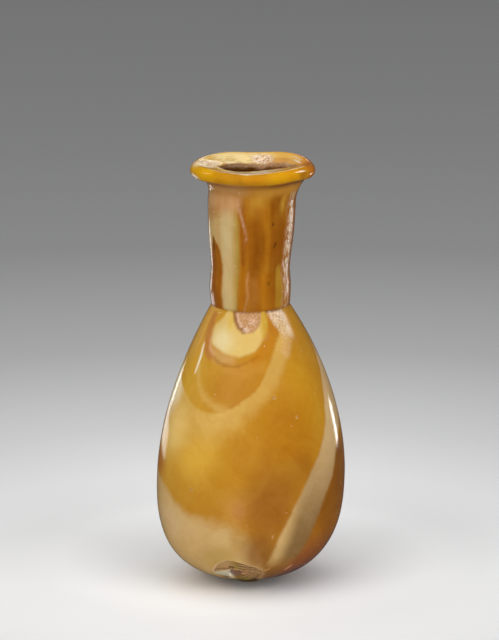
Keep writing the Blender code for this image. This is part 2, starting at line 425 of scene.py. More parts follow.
def scar_relief(bearing, height, radius):
    """How far the broken place low on the front sinks below the skin, in mm.

    Under its brow the skin steps back by 0.42 mm, less towards the ends. At the right it breaks in layers
    that run along the brow, each a slope of 0.34 mm with a sharp foot. At the left a flat facet leans out,
    and a pit and a small hole lie between the two. A welt of 0.14 mm stands along the brow.
    """
    brow = scar_brow(bearing)
    below = brow - height
    ends = rise(bearing, -123.0, -118.0) * fall(bearing, -80.0, -75.0)
    floor = fall(below, 4.5, 6.0)
    step = rise(below, -0.05, 0.35) * ends * floor
    right = rise(bearing, -101.0, -97.0)
    layers = scar_layers(bearing, below)
    facet = stroke(bearing, height, radius, ((-120, 4.8), (-108, 5.2)), (0.3, 1.2), 0.25)
    pit = stroke(bearing, height, radius, ((-104, 5.5), (-100, 4.7), (-95, 5.2)), (0.4, 0.7, 0.3), 0.8)
    hole = stroke(bearing, height, radius, ((-104, 7.0), (-102, 6.9)), 0.2, 0.35)
    welt = np.exp(-(((below + 0.3) / 0.3) ** 2)) * ends
    broken = step * (0.42 + 0.34 * right * layers) - 0.3 * facet * step
    return broken + 0.45 * pit + 0.4 * hole - 0.14 * welt


def scar_layers(bearing, below):
    """A saw tooth from 0 to 1 down through the layers at the right of the scar.

    It is the fraction left of 4.6 times the depth below the brow over the depth of the whole break there,
    which closes up towards its end.
    """
    depth = np.interp(bearing, (-100, -93, -85, -79), (4.4, 3.6, 2.4, 1.3))
    return (4.6 * below / depth + 0.15 * np.sin(bearing * 0.35)) % 1.0


def lip_lumps(bearing, walk):
    """Height in mm of the crust and the ragged layers on top of the lip.

    Lumps a little over 1 mm across, thick at the left and thinner on the far side, and fine layers that run
    round the near edge of the mouth: a zigzag of the walk, which strays by chance.
    """
    where = 2.0 * lip_crust_left(bearing, walk) + 0.8 * lip_crust_far(bearing, walk)
    near = hill(bearing, -96.0, 60.0) * rise(walk, 101.2, 101.6) * fall(walk, 103.8, 104.2)
    layers = np.abs((walk + 0.5 * grain(bearing, walk / 3, 63, 64)) / 0.62 % 1.0 - 0.5)
    return 0.5 * (crust_lumps(bearing, walk) - 0.45) * where + 0.22 * near * (layers - 0.25)


def crust_lumps(bearing, walk):
    """Lumps of crust from 0 to 1, a little over 1 mm across, with smaller ones on them."""
    return 0.6 * grain(bearing, walk / 1.1, 61, 44) + 0.4 * grain(bearing, walk / 0.5, 62, 96)


def lip_crust_left(bearing, walk):
    """Where the crust lies thick on the left end of the lip: a soft oval."""
    return rise(1 - np.hypot((turned(bearing, -176.0) + 176.0) / 30.0, (walk - 101.3) / 2.2), 0.0, 0.6)


def lip_crust_far(bearing, walk):
    """Where the crust lies on the far side of the lip: a soft oval."""
    return rise(1 - np.hypot((turned(bearing, 82.0) - 82.0) / 19.0, (walk - 102.6) / 2.4), 0.0, 0.6)


def unevenness(bearing, walk, inside):
    """How far the skin stands out from its smooth profile, in mm, as free-blown and folded glass does.

    Sums of sines make the soft waves of the body, the fine reeds of the neck and the waves of the roll. The
    crease is a bell curve of height 0.34 mm turned inwards, and the crust lies on top of the lip.
    """
    body = rise(walk, 4.0, 12.0) * fall(walk, 92.0, 97.0)
    soft = 0.05 * body * ripple(bearing, walk, 3, (1, 4), 60.0)
    neck = rise(walk, 67.0, 70.0) * fall(walk, 92.0, 96.0)
    reeds = 0.012 * neck * ripple(bearing, walk, 5, (18, 60), 90.0)
    shows = 0.35 + 0.65 * np.clip(bump(bearing, -125, 30) + bump(bearing, -50, 34), 0, 1)
    level = 66.6 + 0.12 * ripple(bearing, 0 * walk, 8, (2, 7), 1.0)
    crease = -0.34 * shows * np.exp(-(((walk - level) / 0.3) ** 2)) * (walk < 80)
    lip = rise(walk, 94.0, 97.0) * fall(walk, 103.0, 104.0)
    roll = 0.10 * lip * ripple(bearing, walk, 12, (2, 9), 14.0)
    lumps = lip_lumps(bearing, walk) * (walk > 99.9) * (walk < 106)
    return (soft + reeds + crease + roll) * (1 - inside) + lumps


def skin(size, count):
    """Points of the skin, as arrays of rings by bearings, with the bearing, walk and radius of each.

    The profile is turned round a leaning axis: x is the axis plus the radius times the cosine of the
    bearing, y the radius times its sine, and z the level plus a lift. The radius has four faint waves round
    the lip, less a dent in the near edge of the mouth. The lift is four waves round the lip, less the drop
    and tilt of the mouth, the dent's drop and two slumps. Every point also moves out along the profile's
    own normal by the unevenness less the scar.
    """
    radius, level, offset, share, walk, inside = (row[:, None] for row in outline(size))
    bearing = bearings(count)[None, :]
    angle = np.radians(bearing)
    height = size.height / MM
    underside = height - size.lip_thickness / MM
    lip = rise(level, underside - FLARE_HEIGHT, height)
    near = hill(bearing, -90.0, 62.0)
    radius = radius + lip * LIP_OVAL * np.cos(4 * angle) - MOUTH_DENT * share * near
    lift = lip * LIP_WAVE * (1 + 0.5 * np.sin(angle) + 0.3 * np.cos(angle)) * (1 - np.cos(4 * angle)) / 2
    lift = lift - share * (MOUTH_DROP + MOUTH_TILT * np.sin(angle)) - DENT_DROP * share * near
    crest_slump = hill(bearing, -105.0, 75.0)
    edge_slump = hill(bearing, -128.0, 50.0)
    lift = lift - CREST_SLUMP * crest_slump * rise(level, underside, height)
    lift = lift - EDGE_SLUMP * share * edge_slump
    sunk = scar_relief(bearing, level, radius) * (walk < 12)
    out = unevenness(bearing, walk, inside) - sunk
    profile = np.stack([radius[:, 0], level[:, 0]])
    run = np.gradient(profile, axis=1)
    facing = np.stack([run[1], -run[0]]) / np.maximum(np.hypot(*run), 1e-9)
    radius = radius + out * facing[0][:, None]
    up = level + lift + out * facing[1][:, None]
    middle = size.lean / MM * smooth_through(LEAN_STATIONS, level / height) + offset + MOUTH_SHIFT * share
    points = np.stack([middle + radius * np.cos(angle), radius * np.sin(angle), up], axis=-1)
    shape = points.shape[:2]
    return points, np.broadcast_to(bearing, shape), np.broadcast_to(walk, shape), radius


class Paint:
    """The two glasses of the flask, amber and white, each with its own colours all over the skin.

    shows says where the white one lies on top: it is the distance inside the edge of a white band over the
    softness of that edge, so the glass is all white above 1 and all amber below -1.
    """

    def __init__(self, bearing, walk, radius, amber, white):
        """Starts with one colour of each glass, no white showing and no crust."""
        self.bearing = bearing
        self.walk = walk
        self.radius = radius
        self.arc = np.abs(radius) * np.pi / 180.0
        self.glass = {"amber": np.ones(bearing.shape + (4,)) * np.array(amber),
                      "white": np.ones(bearing.shape + (4,)) * np.array(white)}
        self.shows = np.full(bearing.shape, HIDDEN)
        self.crust = np.zeros(bearing.shape)
        self.drawn = np.zeros(bearing.shape)

    def band(self, *edges):
        """Adds a white band, inside all its edges at once: the greater of what shows and the least edge."""
        inside = np.minimum.reduce(np.broadcast_arrays(*edges))
        self.shows = np.maximum(self.shows, np.clip(inside, HIDDEN, -HIDDEN))

    def gap(self, *edges):
        """Takes white away inside all the edges at once."""
        inside = np.minimum.reduce(np.broadcast_arrays(*edges))
        self.shows = np.minimum(self.shows, -np.clip(inside, HIDDEN, -HIDDEN))

    def lay(self, tint, mask, crust=None, only=BOTH_GLASSES):
        """Lays a colour, as hex or numbers: the old times (1 - mask), plus the new times the mask."""
        laid = np.array(linear(tint) if isinstance(tint, str) else tint)
        mask = np.clip(mask, 0.0, 1.0)[..., None]
        for name in (only,) if isinstance(only, str) else only:
            self.glass[name] = self.glass[name] * (1 - mask) + laid * mask
        if crust is not None:
            self.crust = self.crust * (1 - mask[..., 0]) + crust * mask[..., 0]

    def stroke(self, tint, path, width, soft, strength=1.0, crust=None):
        """Lays a colour on both glasses along a path of (bearing, walk) points."""
        self.lay(tint, strength * stroke(self.bearing, self.walk, self.radius, path, width, soft), crust)

    def spot(self, tint, place, reach, strength=1.0, crust=None, only=BOTH_GLASSES):
        """Lays a soft oval: an S curve of 1 less the scaled distance from its (bearing, walk) place."""
        across = (turned(self.bearing, place[0]) - place[0]) / reach[0]
        up = (self.walk - place[1]) / reach[1]
        self.lay(tint, strength * rise(1 - np.hypot(across, up), 0.0, 0.8), crust, only)


def paint_body(paint, tints):
    """The body's bands: a pale loop under the shoulder, a diagonal at the right, cream low at the left."""
    b, z, arc = paint.bearing, paint.walk, paint.arc
    body = np.where(z < 66.8, -HIDDEN, HIDDEN)
    # Amber glass: honey at the left, partly the glass and partly a painted glow, orange under the shoulder,
    # browner low down and at the back
    paint.lay(tints.honey_and_glow, 0.85 * hill(b, -155.0, 66.0), only="amber")
    paint.lay("#A06A12", 0.7 * hill(b, 80.0, 95.0), only="amber")
    paint.lay("#AC741C", 0.7 * fall(z, 18.0, 33.0), only="amber")
    paint.lay("#8C5E1E", 0.85 * fall(z, 7.0, 19.0), only="amber")
    paint.spot("#CA9A30", (-160, 51), (26, 12), 0.9, only="amber")
    paint.spot(tints.orange, (-103, 50), (34, 9), 0.9, only="amber")
    paint.spot("#C08A1C", (-48, 48), (26, 13), 0.7, only="amber")
    # A bright yellow patch low on the left: painted glow
    paint.spot("#D2A43C", (-128, 35), (22, 8), 0.85, only="amber")
    paint.spot("#AE6C14", (-168, 30), (16, 5), 0.9, only="amber")
    paint.stroke("#CFA95E", ((-143, 54), (-137, 50.5), (-130, 48), (-118, 45.9), (-108, 45.4)),
                 0.2, 0.9, 0.5)
    # White glass: yellower in the loop, paler at the far left and high at the right
    loop = rise(z, 31.0, 37.0) * hill(b, -100.0, 110.0)
    paint.lay(tints.pale, np.clip(2 * loop, 0, 1), only="white")
    paint.lay("#C2984A", 0.8 * np.clip(2 * loop, 0, 1) * rise(b, -120.0, -92.0) * fall(z, 56.0, 60.0),
              only="white")
    paint.spot("#E0C48E", (-182, 50), (26, 16), 0.95, only="white")
    paint.spot("#EED8AC", (-176, 49), (14, 9), 0.8, only="white")
    paint.spot("#F2DFB4", (-166, 48), (17, 9), 0.85, only="white")
    paint.spot("#E6C274", (-152, 39), (22, 8), 0.7)
    tone = rise(z, 12.0, 44.0)[..., None]
    diagonal = np.array(linear("#836439")) * (1 - tone) + np.array(linear("#CEAB77")) * tone
    right = rise(b, -78.0 + z / 2, -66.0 + z / 2) * fall(b, 60.0, 100.0)
    paint.lay(diagonal, right, only="white")
    # The loop, crisp above and fading below, whose ends run up at the right and round the left
    top = along(b, ((-205, 62), (-190, 59), (-180, 55.3), (-174, 52.4), (-162, 49.6), (-148, 47.4),
                    (-135, 45.2), (-122, 44.4), (-111, 44.9), (-99, 47.2), (-86, 50.4), (-80, 53.0),
                    (-72, 56.6), (-64, 59.8), (-52, 63.0), (-45, 63.6), (-38, 61.0), (-20, 50), (0, 48),
                    (60, 47), (110, 50)))
    foot = along(b, ((-205, 44), (-190, 41), (-174, 40), (-150, 38.5), (-125, 38.5), (-110, 40.0),
                     (-92, 44.0), (-81, 47.6), (-68, 52.3), (-55, 57.5), (-45, 62.0), (-38, 65.0),
                     (-20, 60), (0, 54), (60, 41), (110, 38)))
    fade = 2.0 + 3.4 * hill(b, -130.0, 66.0)
    paint.band((top - z) / (0.35 + 0.7 * rise(b, -92.0, -70.0)), (z - foot) / fade, body)
    # The diagonal at the right
    low = np.interp(z, (4, 9.8, 17.5, 23.8, 29.9, 35.6, 40.4, 45.8, 50.7, 54, 58),
                    (-81, -75, -69, -61, -52, -41, -33, -27, -20, -14, -6))
    high = np.interp(z, (4, 8.8, 16.3, 23.2, 28.2, 34.4, 40, 46, 58),
                     (-56, -54, -47, -40, -31, -24, -8, 20, 60))
    paint.band((b - low) * arc / 0.7, (high - b) * arc / 0.8, (z - 9.0) / 2.6, (57.0 - z) / 3.0)
    fibres = ripple(b - low, z, 77, (30, 110), 70.0)
    paint.lay("#9E7840", 0.14 * right * rise(fibres, 0.0, 1.0) * fall(z, 30.0, 48.0), only="white")
    paint.lay("#D8BA84", 0.10 * right * rise(-fibres, 0.1, 1.0), only="white")
    # Dark glass to the right of it, redder at the bottom
    dark = rise(b - high, -6.0, 1.0) * fall(b, 95.0, 140.0) * fall(z, 33.0, 40.0)
    paint.lay(tints.brown, 0.97 * dark, only="amber")
    blotches = ripple(b, z, 71, (2, 11), 16.0)
    paint.lay(tints.umber_and_throat_shade, 0.4 * dark * rise(blotches, 0.1, 1.0), only="amber")
    paint.lay("#B87A22", 0.4 * dark * rise(-blotches, 0.1, 1.0), only="amber")
    paint.lay("#884E26", 0.85 * rise(b, -62.0, -52.0) * fall(b, 60.0, 120.0)
              * fall(z, 9.0, 17.0), only="amber")
    # Cream low on the left, carried round the back
    top = along(b, ((-180, 28.8), (-164, 26.3), (-152, 24.4), (-143, 22.4), (-130, 20.3), (-115, 19.2),
                    (-105, 18.3), (-96, 17.0), (-88, 13.5), (-80, 8.5), (-70, 2), (-40, 0), (60, 0),
                    (100, 8), (130, 22), (160, 30)))
    edge = 0.6 + 2.4 * hill(b, -92.0, 40.0) + 0.9 * rise(b, -180.0, -150.0)
    paint.band((top - z) / edge, body)
    paint.spot("#C9AA7C", (-150, 17), (24, 6), 0.6, only="white")
    paint.spot("#AE8F4E", (-112, 10), (22, 5), 0.75, only="white")
    paint.spot("#A9803F", (-96, 15), (10, 5), 0.6, only="white")
    paint.spot("#8C5D28", (-84, 12), (15, 8), 0.8)
    paint.spot("#B8843A", (-97, 23), (20, 7), 0.6, only="amber")
    paint.spot("#AC7216", (-88, 36), (24, 9), 0.5, only="amber")
    paint.spot("#AA6C0C", (-64, 40), (30, 13), 0.75, only="amber")
    paint.spot("#92591C", (-77, 24), (26, 15), 0.75, only="amber")
    paint.spot("#9A6218", (-58, 31), (16, 7), 0.6, only="amber")
    paint.spot("#B47A44", (-97.5, 22.5), (7, 3.2), 0.5, only="amber")
    paint.spot("#DDB07A", (-75.3, 16.2), (1.6, 0.5), 0.9)


def paint_shoulder(paint, tints):
    """The pale oval under the crease, with weathered glass inside it and a speckled patch beside it."""
    b, z, arc = paint.bearing, paint.walk, paint.arc
    under = np.where(z < PAINT_SEAM, -HIDDEN, HIDDEN)
    left = hill(b, -160.0, 24.0) * rise(z, 53.0, 59.0) * (z < PAINT_SEAM)
    streaks = ripple(b, z, 31, (24, 60), 200.0)
    paint.lay("#D6A44C", 0.9 * left)
    paint.lay("#A87420", 0.5 * left * rise(streaks, 0.1, 0.9))
    # The pale oval and the hollow in it
    low = np.interp(b, (-143, -136, -117, -102, -87, -74, -67, -63),
                    (61.6, 59.4, 57.5, 57.0, 58.2, 61.4, 64.1, 67.5))
    high = np.interp(b, (-143, -138, -128, -124), (62.0, 63.4, 65.4, 68.5))
    paint.band((z - low) / 0.5, (high - z) / 0.6, (b + 143.0) * arc / 0.5, (-62.0 - b) * arc / 0.5, under)
    inner = np.interp(b, (-116, -113, -110, -105, -97, -88, -80, -76, -74),
                      (68, 66.4, 64.8, 63.2, 62.2, 62.3, 63.5, 65.3, 68))
    paint.gap((z - inner) / 0.35, (b + 116.0) * arc / 0.3, (-73.0 - b) * arc / 0.3, under)
    oval = rise(z - low, -1.4, -0.6) * rise(b, -150.0, -144.0) * fall(b, -64.0, -62.0) * (z < PAINT_SEAM)
    paint.lay("#D2B268", oval, only="white")
    paint.spot("#DCC894", (-124, 60), (20, 5), 0.95, only="white")
    paint.spot("#D2AC50", (-116, 65), (6, 4), 0.8, only="white")
    paint.lay("#C39D38", 0.95 * oval * rise(b, -82.0, -74.0), only="white")
    hollow = rise(z, 60.0, 61.5) * rise(b, -120.0, -116.0) * fall(b, -73.0, -70.0) * (z < PAINT_SEAM)
    paint.lay(tints.tan, hollow, only="amber")
    paint.crust = np.maximum(paint.crust, 0.18 * rise(z - inner, 0.0, 0.8) * hollow)
    paint.stroke("#8A5630", ((-113, 66.4), (-110, 64.8), (-105, 63.4), (-99, 62.5)), 0.25, 0.55, 0.8)
    paint.stroke("#DDB896", ((-109, 66.2), (-106, 64.6), (-102, 63.6)), 0.1, 0.35, 0.6)
    paint.spot("#D9B090", (-88, 65), (6, 1.4), 0.5, 0.4)
    paint.spot("#E4CBB4", (-96, 62.8), (6, 0.8), 0.5, 0.4)
    # Thin tan and orange glass under the oval, with a brown thread between them
    paint.stroke("#C49A62", ((-132, 57.6), (-122, 56.6), (-110, 56.2)), (0.3, 0.5, 0.1), 1.7, 0.6)
    paint.stroke("#C08838", ((-112, 54.4), (-96, 54.0), (-84, 55.0)), (0.3, 0.5, 0.2), 2.2, 0.5)
    paint.stroke("#B87618", ((-88, 56.4), (-78, 58.2), (-71, 60.6), (-66, 63)),
                 (0.2, 0.6, 0.6, 0.3), 1.5, 0.7)
    paint.stroke("#8F5716", ((-128, 56.6), (-123, 55.7), (-117, 55.2), (-109, 55.0), (-101, 55.1)),
                 (0.0, 0.05, 0.1, 0.05, 0.0), 0.5, 0.5)
    paint.stroke("#9A5C12", ((-103, 55.3), (-97, 55.7), (-90, 56.5), (-84, 57.4)),
                 (0.0, 0.06, 0.06, 0.0), 0.5, 0.4)
    paint.stroke("#B0721A", ((-62, 66.6), (-62, 64.3), (-63, 62.4)), 0.8, 0.8, 0.85)
    # The speckled crust at the right, and the reddish streaks at the left with a white streak among them
    # that is a painted highlight
    patch = stroke(b, z, paint.radius, ((-52, 66.2), (-50, 64.6), (-48, 62.6)), (1.5, 1.5, 0.9), 1.3)
    paint.lay("#D2B48C", 0.85 * patch * (z < PAINT_SEAM), 0.55)
    paint.stroke("#CDA468", ((-48, 62.8), (-50, 60.4), (-56, 57.6)), (0.9, 0.8, 0.5), 1.2, 0.6, 0.15)
    paint.spot("#DEC49C", (-42, 61.8), (7, 2.4), 0.35, 0.3)
    paint.stroke("#B4733A", ((-147, 65.0), (-145, 61.5), (-139, 58.0), (-132, 56.4)),
                 (0.3, 0.6, 0.5, 0.1), 1.3, 0.75)
    paint.stroke("#D8A878", ((-139, 60.2), (-135, 58.2), (-128, 57.0)), (0.0, 0.15, 0.0), 0.5, 0.6)
    # A white streak on the left of the shoulder: painted highlight
    paint.stroke("#F6E8C8", ((-146, 58.8), (-144, 56), (-144.5, 52.4)), (0.05, 0.2, 0.05), 0.35, 0.85)
    # Dark lines along the crease: painted shade in its groove
    paint.stroke("#6E4414", ((-66, 66.6), (-54, 66.7), (-36, 66.9), (-20, 67.0)), 0.08, 0.4, 0.75)
    paint.stroke("#7E4E18", ((-116, 66.6), (-96, 66.6), (-76, 66.6)), 0.03, 0.5, 0.6)


def paint_neck(paint, tints):
    """The neck: brown glass with upright streaks, and a cream band at the left with a brown wedge in it."""
    b, z, arc = paint.bearing, paint.walk, paint.arc
    neck = rise(z, 66.5, 66.9) * fall(z, 93.0, 96.0)
    paint.lay("#A4650E", neck)
    streaks = ripple(b, z, 21, (7, 22), 180.0)
    paint.lay("#8E520A", 0.4 * neck * rise(streaks, 0.0, 1.2), only="amber")
    paint.lay("#BA7A18", 0.35 * neck * rise(-streaks, 0.1, 1.2), only="amber")
    paint.lay("#93530A", 0.5 * neck * bump(b, -44.0, 20.0) * fall(z, 84.0, 91.0), only="amber")
    paint.spot("#A26A2A", (-88, 71), (16, 8), 0.6, only="amber")
    paint.spot("#A9681C", (-97, 84), (7, 5), 0.6, only="amber")
    paint.stroke("#874C08", ((-86, 87), (-80, 84), (-82, 77)), (0.0, 0.4, 0.0), 3.2, 0.75)
    paint.stroke("#894E0A", ((-56, 92), (-51, 84), (-51, 72)), (0.5, 0.8, 0.5), 2.6, 0.65)
    paint.stroke("#8E4E12", ((-104, 92), (-101, 86), (-100, 78)), (0.2, 0.3, 0.0), 1.0, 0.6)
    paint.stroke("#B07616", ((-71, 92), (-67, 84), (-66, 76)), (0.5, 0.2, 0.1), 0.9, 0.6)
    paint.drawn = paint.drawn * (1 - neck) + neck
    # The cream band and the wedge in it
    side = rise(b, -121.0, -107.0)
    paint.lay(tints.cream, neck, only="white")
    paint.lay("#C8B07C", 0.8 * neck * bump(b, -124.0, 16.0), only="white")
    paint.lay("#AA8838", 0.95 * neck * side, only="white")
    edge = np.interp(z, (66.6, 71.4, 76.5, 82.6, 87.3, 91.7), (-111, -107, -106, -106, -107, -110))
    arch = np.interp(b, (-180, -154, -146, -132, -116, -104), (88, 88, 89, 90.4, 91.2, 90.6))
    above = np.where(z > PAINT_SEAM, -HIDDEN, HIDDEN)
    paint.band((edge - b) * arc / 0.6, (arch - z) / 2.2, above)
    left = np.interp(z, (66, 76, 80, 83), (-180, -174, -160, -153))
    right = np.interp(z, (66, 77, 80.5, 82.2, 83), (-134, -134, -137, -143, -150))
    paint.gap((b - left) * arc / 0.3, (right - b) * arc / 0.6, (83.3 - z) / 0.6, above)
    paint.lay("#94540C", neck * bump(b, -152.0, 30.0) * fall(z, 81.0, 86.0), only="amber")
    high = rise(z, 88.5, 92.0) * neck
    paint.lay("#CB9A66", 0.9 * high * fall(b, -112.0, -98.0))
    paint.lay("#C79E6C", 0.85 * neck * rise(z, 84.0, 87.0) * hill(b, -180.0, 40.0), only="amber")
    paint.lay("#CC9A38", 0.8 * neck * rise(z, 88.0, 94.0) * bump(b, -84.0, 22.0))
    paint.lay("#C0902E", 0.8 * high * bump(b, -46.0, 8.0))
    paint.stroke("#6B4A14", ((-152, 83), (-151, 80.5)), 0.15, 0.5, 0.8)
    paint.stroke("#AD8226", ((-46, 76.5), (-44, 73), (-45, 68)), (0.2, 0.7, 0.7), 0.9, 0.85)
    ragged = 0.55 + 0.45 * np.sin(7.0 * z) * np.sin(3.1 * z + 1.0)
    thread = stroke(b, z, paint.radius, ((-110, 93), (-105, 90), (-101, 87.5), (-96, 84.4), (-98, 83)),
                    0.1, 0.4)
    paint.lay("#C69A72", 0.6 * thread * ragged, 0.3)
    paint.stroke("#4E2A06", ((-65, 86.7), (-61, 87.2), (-59, 87.0)), 0.05, 0.22, 0.8)
    paint.stroke("#4E2A06", ((-57, 81.9), (-54.5, 82.7)), 0.08, 0.25, 0.85)
    paint.stroke("#5A3208", ((-65, 73.4), (-62, 73.2)), 0.06, 0.25, 0.7)
    paint.stroke("#B98450", ((-93, 76), (-95, 73), (-93, 70.5), (-99, 67)), 0.03, 0.4, 0.5)
    # Rough weathered glass along the right, whose pale specks are also a painted highlight, and at the left
    # a pale edge that is a painted highlight with a little crust
    veer = 0.5 * (z - 80.0) * (z < 80.0) / 4
    crust_and_highlight = bump(b, -27.0 + veer, 15.0) * neck * (0.35 + 0.65 * bump(z, 80.0, 10.0))
    speck = grain(b, z / 0.7, 72, 256)
    paint.lay("#EED6B4", crust_and_highlight * rise(speck, 0.3, 0.6), 0.7)
    paint.lay("#A87A48", 0.7 * neck * bump(b, -8.0, 14.0) * fall(z, 86.0, 91.0))
    # A pale line along the left edge of the neck: painted highlight with a little crust
    paint.stroke("#E6D2B4", ((-172, 84), (-168, 80), (-166, 76), (-168, 71.6), (-166, 67)),
                 (0.05, 0.2, 0.25, 0.2, 0.15), 0.4, 0.8, 0.3)
    back = hill(b, 70.0, 26.0) + hill(b, 150.0, 16.0)
    paint.lay(tints.cream, 0.8 * neck * back)


def paint_lip(paint, tints):
    """The lip: yellow to deep orange round its roll, ivory and crust on top, and a throat darkened by
    painted shade.
    """
    b, w = paint.bearing, paint.walk
    lip = rise(w, 94.0, 97.0)
    paint.shows = np.where(w > 95.0, HIDDEN, paint.shows)
    paint.lay("#C48A12", lip)
    side = along(b, ((-180, 0.75), (-160, 0.95), (-135, 0.8), (-115, 0.4), (-90, 0.2), (-62, 0.85),
                     (-48, 1.0), (-34, 0.3), (-15, -0.25), (15, -0.2), (40, 0.1), (60, 0.5), (90, 0.7),
                     (120, 0.8), (150, 0.7)))
    paint.lay("#D6A20C", lip * rise(side, 0.3, 1.0))
    paint.lay("#CC8A06", 0.85 * lip * hill(b, -52.0, 24.0))
    paint.lay("#B87A10", 0.7 * lip * hill(b, -92.0, 26.0))
    mottled = ripple(b, w, 49, (3, 14), 9.0)
    paint.lay("#A06C10", 0.6 * lip * rise(mottled, 0.1, 1.0))
    paint.lay("#BE6E0A", 0.9 * lip * rise(-side, -0.2, 0.2))
    flare = rise(w, 93.2, 95.0) * fall(w, 96.7, 97.5)
    paint.lay("#BE8430", 0.8 * flare)
    paint.lay("#BA8A54", 0.8 * flare * fall(turned(b, -120.0), -112.0, -86.0) * (b < 0))
    # Dark bands just under the roll, strongest at the right front: painted shade under the lip
    paint.lay("#8E5A2C", 0.6 * bump(w, 96.4, 1.1))
    paint.lay("#763F08", 0.8 * bump(w, 96.7, 1.0) * hill(b, -50.0, 55.0))
    # The top: ivory on the far side and the left, amber at the right, layered cream along the near edge
    top = rise(w, 99.7, 100.8)
    far = hill(b, 118.0, 86.0)
    paint.lay(tints.ivory, top * np.clip(1.4 * far, 0, 1))
    bands = ripple(b, w, 47, (1, 3), 2.2)
    paint.lay("#D2A03C", 0.75 * top * np.clip(1.4 * far, 0, 1) * rise(bands, 0.1, 0.9))
    threads = grain(b + 16.0 * bands, w / 0.35, 66, 60)
    paint.lay("#C49A52", 0.6 * top * np.clip(1.6 * far, 0, 1) * rise(threads, 0.45, 0.9)
              * fall(w, 103.6, 104.2))
    paint.lay("#D6A84A", 0.8 * top * hill(b, 150.0, 14.0))
    paint.lay("#DEB25C", 0.9 * top * hill(b, 40.0, 44.0))
    paint.lay("#CA9038", 0.7 * top * hill(b, 50.0, 30.0) * rise(bands, -0.2, 0.6))
    paint.lay("#C89058", 0.6 * bump(w, 103.4, 1.4) * hill(b, 50.0, 50.0))
    near = hill(b, -94.0, 60.0)
    layered = near * rise(w, 100.6, 101.2)
    paint.lay("#DABA7E", 0.9 * layered)
    lumps = crust_lumps(b, 2 * w)
    paint.lay("#E4C2A0", 0.6 * layered * hill(b, -72.0, 26.0) * rise(lumps, 0.4, 0.6), 0.5)
    layers = ripple(0 * b, w, 44, (1, 2), 0.9) + 0.6 * ripple(b, w, 45, (3, 9), 1.4)
    paint.lay("#A06A30", 0.8 * layered * rise(layers, 0.1, 0.5))
    paint.lay("#BFA262", 0.7 * layered * bump(w, 103.2, 0.9))
    # A pale line along the near crest: painted highlight, with a little crust
    crest = stroke(b, w, paint.radius,
                   ((-124, 101.0), (-112, 100.5), (-96, 100.3), (-80, 100.5), (-66, 101.2)),
                   (0.02, 0.1, 0.16, 0.12, 0.02), 0.35)
    paint.lay("#EED6B8", crest * (0.45 + 0.5 * rise(lumps, 0.35, 0.65)), 0.25)
    paint.spot("#A46810", (-36, 98.6), (9, 1.6), 0.6)
    # Crust on the left end and the far side
    left_crust = lip_crust_left(b, w)
    far_crust = lip_crust_far(b, w)
    paint.lay("#F2D8AE", 0.95 * left_crust, 0.7)
    paint.lay("#E2C2A4", 0.85 * far_crust, 0.95)
    lows = fall(crust_lumps(b, w), 0.3, 0.48)
    paint.lay("#A87838", 0.8 * lows * np.maximum(left_crust, 0.6 * far_crust))
    paint.spot("#E0C4A0", (24, 102.4), (16, 0.7), 0.8, 0.8)
    paint.spot("#DDBE98", (32, 101.2), (14, 0.6), 0.6, 0.7)
    paint.spot("#DDB88A", (178, 102.9), (36, 1.4), 0.75, 0.7)
    # A pale patch low on the left of the roll: painted highlight with a little crust
    paint.spot(tints.bloom_and_highlight, (-160, 97.6), (14, 1.0), 0.9, 0.3)
    # The mouth's edge and the throat: a brown band below the edge and umber deeper down are painted shade
    # inside the mouth
    edge = w + 0.35 * ripple(b, 0 * w, 48, (5, 16), 1.0)
    deep = 105.3 + 0.5 * bump(b, 70.0, 34.0) + 0.5 * bump(b, 112.0, 26.0)
    paint.lay("#A0704C", 0.85 * rise(edge, 103.8, 104.4), 0.2)
    paint.lay(tints.umber_and_throat_shade, rise(edge - deep, -0.3, 0.7), 0.0)
    paint.lay("#A8641C", rise(w, 135.0, 140.0))


